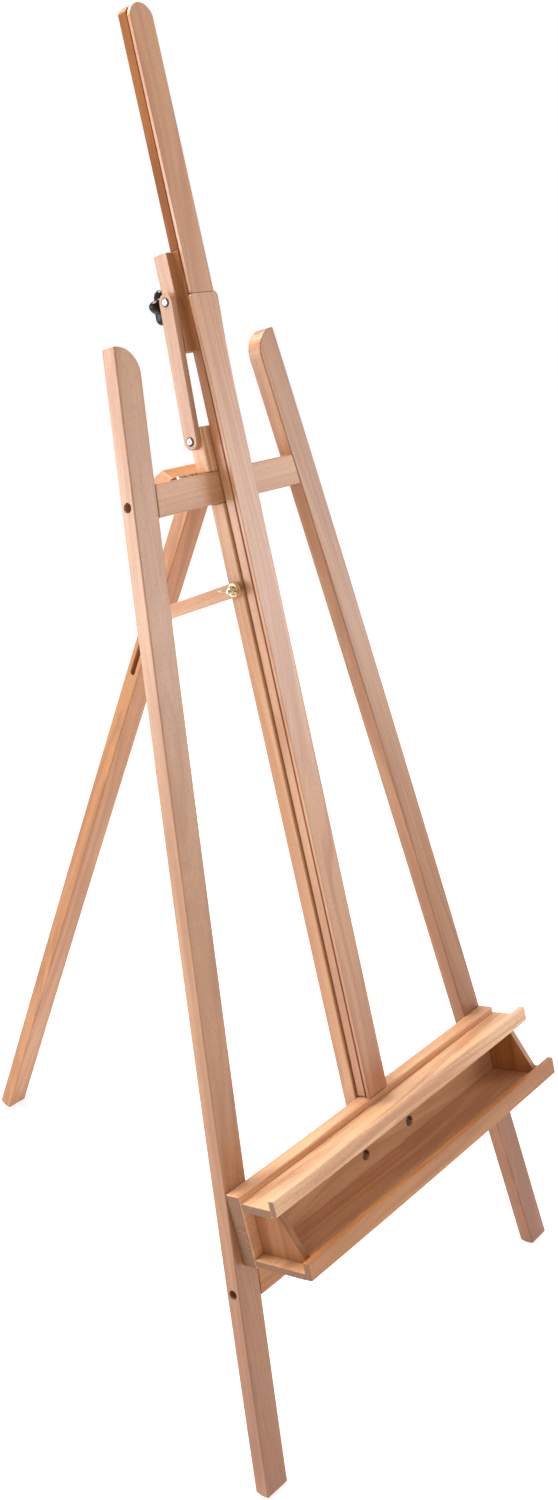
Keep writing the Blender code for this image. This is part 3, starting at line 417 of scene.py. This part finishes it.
def washer_mesh(inner, outer, thickness, segments=40):
    bm = bmesh.new()
    edge = thickness * 0.25
    profile = [
        (inner, edge),
        (inner + edge, 0),
        (outer - edge, 0),
        (outer, edge),
        (outer, thickness - edge),
        (outer - edge, thickness),
        (inner + edge, thickness),
        (inner, thickness - edge),
    ]
    rings = [[bm.verts.new(point) for point in ring] for ring in turned(profile, segments)]
    for lower, upper in zip(rings, rings[1:] + rings[:1]):
        for i in range(segments):
            j = (i + 1) % segments
            bm.faces.new((lower[i], lower[j], upper[j], upper[i]))
    return bm


def thread_mesh(length, radius=ROD_RADIUS, pitch=0.001, start=0.0, segments=24):
    """A helical thread along Z, with a chamfered tip."""
    depth = 0.00032
    steps = int(length / pitch * 4)
    rings = []
    for step in range(steps + 1):
        z = length * step / steps
        fade = min(1.0, (length - z) / (1.5 * pitch), z / pitch + 0.3)
        ring = []
        for i in range(segments):
            angle = 2 * math.pi * i / segments
            phase = (z / pitch - i / segments) % 1.0
            cut = depth * abs(2 * phase - 1)
            reach = radius - cut - (1 - max(0.0, fade)) * 0.0006
            ring.append(Vector((reach * math.cos(angle), reach * math.sin(angle), start + z)))
        rings.append(ring)
    return rings_to_mesh(rings)


def hex_recess_head(head, height, recess, depth, segments=48):
    """A low domed head with a hexagon recess, standing on Z = 0."""
    def blend_hex(angle):
        sector = (angle + math.pi / 6) % (math.pi / 3) - math.pi / 6
        return 1.0 / math.cos(sector)

    rings = turned(
        [
            (head * 0.90, 0),
            (head, height * 0.18),
            (head, height * 0.55),
            (head * 0.93, height * 0.80),
            (head * 0.80, height * 0.95),
            (head * 0.66, height),
        ],
        segments,
    )
    socket = [(recess * 1.12, height), (recess, height * 0.94), (recess, height - depth)]
    flat = turned(socket, segments, blend_hex)
    return rings_to_mesh(rings + flat)


# ---------------------------------------------------------------- hardware


def hand_knob():
    """The five-lobed clamp knob, with a tapered hub and a steel insert."""
    axis, centre = BACK, pivot("clamp_knob_turn")
    lobes, outer, dip, first = 5, 0.0248, 0.0078, math.radians(10)

    def lobed(angle):
        wave = 0.5 + 0.5 * math.cos(lobes * (angle - first))
        return 1.0 - dip / outer * (1 - wave**0.8)

    hub = [(0.0086, 0.0006), (0.0092, 0.0002), (0.0096, 0.0010), (0.0108, 0.0080), (0.0128, 0.0112)]
    rings = turned(hub, 120)
    rim = []
    for step in range(9):
        around = math.radians(-90 + 180 * step / 8)
        rim.append((outer - 0.0034 + 0.0034 * math.cos(around), 0.0195 + 0.0072 * math.sin(around)))
    rings += turned([(0.0165, 0.0121), *rim], 120, lobed)
    rings += turned([(0.0165, 0.0269)], 120, lobed)
    rings += turned([(0.0118, 0.0271), (0.0100, 0.0266), (0.0086, 0.0256), (0.0040, 0.0255)], 120)
    knob = piece("hand_knob", rings_to_mesh(rings), BLACK, "clamp_knob", centre, axis)
    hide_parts("clamp_knob")
    insert = washer_mesh(ROD_RADIUS + 0.0002, 0.0055, 0.0014)
    place = centre - axis * 0.0014
    piece("knob_insert", insert, STEEL, "clamp_block", place, axis)


def wing_nut_mesh():
    """Hub and two ears in one skin: each ear is a swept, thinning blade that rises out of the hub."""
    hub = [(0.0062, 0.0), (0.0068, 0.0006), (0.0067, 0.0020), (0.0056, 0.0046)]
    bm = rings_to_mesh(turned([*hub, (0.0048, 0.0078), (0.0042, 0.0084)]))
    for side in (-1, 1):
        rings = []
        for step in range(13):
            t = step / 12
            x = 0.0030 + 0.0130 * t
            z = 0.0038 + 0.0085 * t**1.4
            tall = 0.0030 + 0.0020 * math.sin(math.pi * min(1.0, t * 1.05)) ** 0.8
            tall *= math.sqrt(max(0.02, 1 - max(0.0, (t - 0.72) / 0.29) ** 2))
            thin = 0.0017 - 0.0006 * t
            thin *= math.sqrt(max(0.05, 1 - max(0.0, (t - 0.80) / 0.21) ** 2))
            ring = []
            for i in range(16):
                angle = 2 * math.pi * i / 16
                ring.append(Vector((side * x, thin * math.cos(angle), z + tall * math.sin(angle))))
            rings.append(ring)
        rings_to_mesh(rings, bm)
    return bm


def wing_nut(name, node, body, place, axis, turn, on_body, washer):
    nut = piece(name, wing_nut_mesh(), BRASS, body, place, axis, turn)
    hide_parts(node)
    base = place - axis * 0.0001
    disc = washer_mesh(WASHER_BORE, washer, WASHER_THICKNESS)
    piece(f"{name}_washer", disc, BRASS, on_body, base, axis)
    return nut


def wing_nuts():
    out = -SIDE
    turn = math.radians(10)
    wing_nut("stay_wing", "stay_wing_nut", "stay_nut", pivot("stay_nut_turn"), out, turn, "a_frame", 0.0094)
    thread = thread_mesh(0.0122)
    place = pivot("stay_nut_turn") + out * 0.0002
    piece("stay_thread", thread, STEEL, "a_frame", place, out)
    for label in ("left", "right"):
        joint = f"tray_nut_{label}_turn"
        nut = f"tray_wing_nut_{label}"
        wing_nut(f"tray_wing_{label}", nut, f"tray_nut_{label}", pivot(joint), BACK, 0.0, "tray", 0.0082)


def link_screws():
    """Flat disc heads with a hexagon recess, a dark ring round each as painted shadow of a sunk head, and a
    shank into the wood.
    """
    head_height = 0.0018
    for label, side in (("left", -1), ("right", 1)):
        for level, body in (("lower", "a_frame"), ("upper", "clamp_block")):
            node = f"link_screw_{level}_{label}"
            low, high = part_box(node)
            outer = high.x if side > 0 else low.x
            middle = (low + high) / 2
            axis = SIDE * side
            place = Vector((outer, middle.y, middle.z)) - axis * head_height
            head = hex_recess_head(0.0048, head_height, 0.0010, 0.0011)
            screw = piece(f"pivot_{level}_{label}", head, STEEL, body, place, axis)
            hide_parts(node)
            # painted shadow: a dark ring round the head, standing for the shade round a sunk screw head
            ring = washer_mesh(WASHER_BORE, 0.0061, 0.0004)
            piece(f"pivot_shadow_ring_{level}_{label}", ring, PAINTED_SHADOW_STEEL, body, place, axis)
            shank = rings_to_mesh(turned([(0.0026, 0), (0.003, 0.0004), (0.003, 0.0200)], 32))
            piece(f"pivot_shank_{level}_{label}", shank, STEEL, body, place, -axis)


def slot_hardware():
    """The threaded bolt end and a washer at the rear leg's slot, placed by the nut."""
    low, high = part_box("slot_bolt")
    nut_low, nut_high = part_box("slot_nut")
    middle = (nut_low + nut_high) / 2
    tip = Vector((low.x, middle.y, middle.z))
    out = -SIDE
    thread = thread_mesh(0.0105)
    piece("slot_thread", thread, STEEL, "stay", tip - out * 0.0106, out)
    place = Vector((high.x - 0.0024, middle.y, middle.z))
    washer = washer_mesh(WASHER_BORE, 0.0085, WASHER_THICKNESS)
    piece("slot_washer", washer, STEEL, "stay", place - SIDE * 0.0012, SIDE)


def hinge_screws():
    """Three low domed screw heads with a hexagon recess on each hinge leaf."""
    for label in ("left", "right"):
        for kind, body in (("frame", "a_frame"), ("leg", "rear_leg")):
            node = f"hinge_{kind}_leaf_{label}"
            points = [vert.co for vert in NODES[node].data.vertices]
            low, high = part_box(node)
            hinge = pivot("rear_leg_fold")
            lowest = min(points, key=lambda point: point.z)
            down = Vector((0, lowest.y - hinge.y, lowest.z - hinge.z)).normalized()
            normal = SIDE.cross(down).normalized()
            if (kind == "frame") == (normal.y < 0):
                normal = -normal
            plate = [point - hinge for point in points if (point - hinge).dot(down) > 0.02]
            shelf = max(point.dot(normal) for point in plate)
            for number, (across, along) in enumerate(((0.2, 0.022), (0.5, 0.014), (0.8, 0.022))):
                x = low.x + (high.x - low.x) * across
                place = Vector((x, hinge.y, hinge.z)) + down * along + normal * (shelf - 0.0001)
                head = hex_recess_head(0.0024, 0.0006, 0.0009, 0.0004, 24)
                piece(f"hinge_screw_{kind}_{label}_{number}", head, STEEL, body, place, normal)


def dress_metal(wooden):
    for name, obj in NODES.items():
        if name in wooden:
            continue
        material = BLACK if name == "clamp_knob" else BRASS if "wing_nut" in name else STEEL
        set_material(obj, material)


# ---------------------------------------------------------------- studio


def floor():
    bm = bmesh.new()
    bmesh.ops.create_grid(bm, x_segments=2, y_segments=2, size=FLOOR_SIZE)
    mesh = bpy.data.meshes.new("floor")
    bm.to_mesh(mesh)
    bm.free()
    obj = bpy.data.objects.new("floor", mesh)
    bpy.context.scene.collection.objects.link(obj)
    material, _, shader = new_material("pale_floor", Roughness=0.9, Specular_IOR_Level=0.1)
    shader.inputs["Base Color"].default_value = (0.50, 0.50, 0.50, 1)
    shader.inputs["Emission Color"].default_value = (1, 1, 1, 1)
    shader.inputs["Emission Strength"].default_value = FLOOR_GLOW
    mesh.materials.append(material)


def area_light(name, place, target, size, power, colour=(1, 1, 1)):
    light = bpy.data.lights.new(name, "AREA")
    light.shape = "RECTANGLE"
    light.size, light.size_y = size
    light.energy = power
    light.color = colour
    obj = bpy.data.objects.new(name, light)
    bpy.context.scene.collection.objects.link(obj)
    place = Vector(place)
    turn = (place - Vector(target)).to_track_quat("Z", "Y").to_matrix().to_4x4()
    obj.matrix_world = Matrix.Translation(place) @ turn


def studio():
    """White surroundings that dim overhead, two low softboxes seen in the satin finish and one above."""
    world = bpy.data.worlds.new("studio")
    world.use_nodes = True
    g = Graph(world.node_tree)
    direction = g.node("ShaderNodeTexCoord").outputs["Generated"]
    rise = g.node("ShaderNodeSeparateXYZ", {0: direction}).outputs[2]
    sky = g.blend(g.span(rise, 0.12, 0.9), (1, 1, 1, 1), (0.45, 0.45, 0.46, 1))
    background = world.node_tree.nodes["Background"]
    g.tree.links.new(sky, background.inputs["Color"])
    bpy.context.scene.world = world
    bpy.context.scene.view_settings.view_transform = "Standard"
    area_light("left_rear", (-1.65, 1.45, 1.15), (-0.1, 0, 1.3), (1.3, 1.2), 23, (0.94, 1.0, 1.05))
    area_light("right_front", (1.72, -1.5, 1.50), (0, -0.1, 1.3), (1.3, 1.0), 15, (0.94, 1.0, 1.05))
    area_light("top", (-0.2, 1.3, 3.3), (0, -0.2, 0.5), (1.6, 1.6), 140, (1.0, 0.98, 0.94))


def camera():
    """Stands to the left and in front of the easel, near the height of its top, looking down at it.

    The lens has a slight barrel distortion: the angle off its axis is a polynomial of the distance
    from the middle of the sensor.
    """
    azimuth, elevation, roll = (math.radians(a) for a in (CAMERA_AZIMUTH, CAMERA_ELEVATION, CAMERA_ROLL))
    flat = math.cos(elevation)
    forward = Vector((math.sin(azimuth) * flat, math.cos(azimuth) * flat, math.sin(elevation)))
    level = forward.cross(Vector((0, 0, 1))).normalized()
    right = level * math.cos(roll) + level.cross(forward) * math.sin(roll)
    up = right.cross(forward)
    data = bpy.data.cameras.new("camera")
    data.lens = LENS
    data.sensor_width = 36
    data.type = "PANO"
    data.panorama_type = "FISHEYE_LENS_POLYNOMIAL"
    data.fisheye_fov = math.pi
    data.fisheye_polynomial_k0 = 0
    data.fisheye_polynomial_k1 = -1 / LENS
    data.fisheye_polynomial_k2 = 0
    data.fisheye_polynomial_k3 = LENS_CUBIC
    data.fisheye_polynomial_k4 = LENS_QUARTIC
    obj = bpy.data.objects.new("camera", data)
    bpy.context.scene.collection.objects.link(obj)
    axes = Matrix((right, up, -forward)).transposed().to_4x4()
    obj.matrix_world = Matrix.Translation(CAMERA_PLACE) @ axes
    bpy.context.scene.camera = obj


floor()
studio()
camera()
dress_metal(dress_boards())
hand_knob()
wing_nuts()
link_screws()
slot_hardware()
hinge_screws()

bpy.context.view_layer.update()
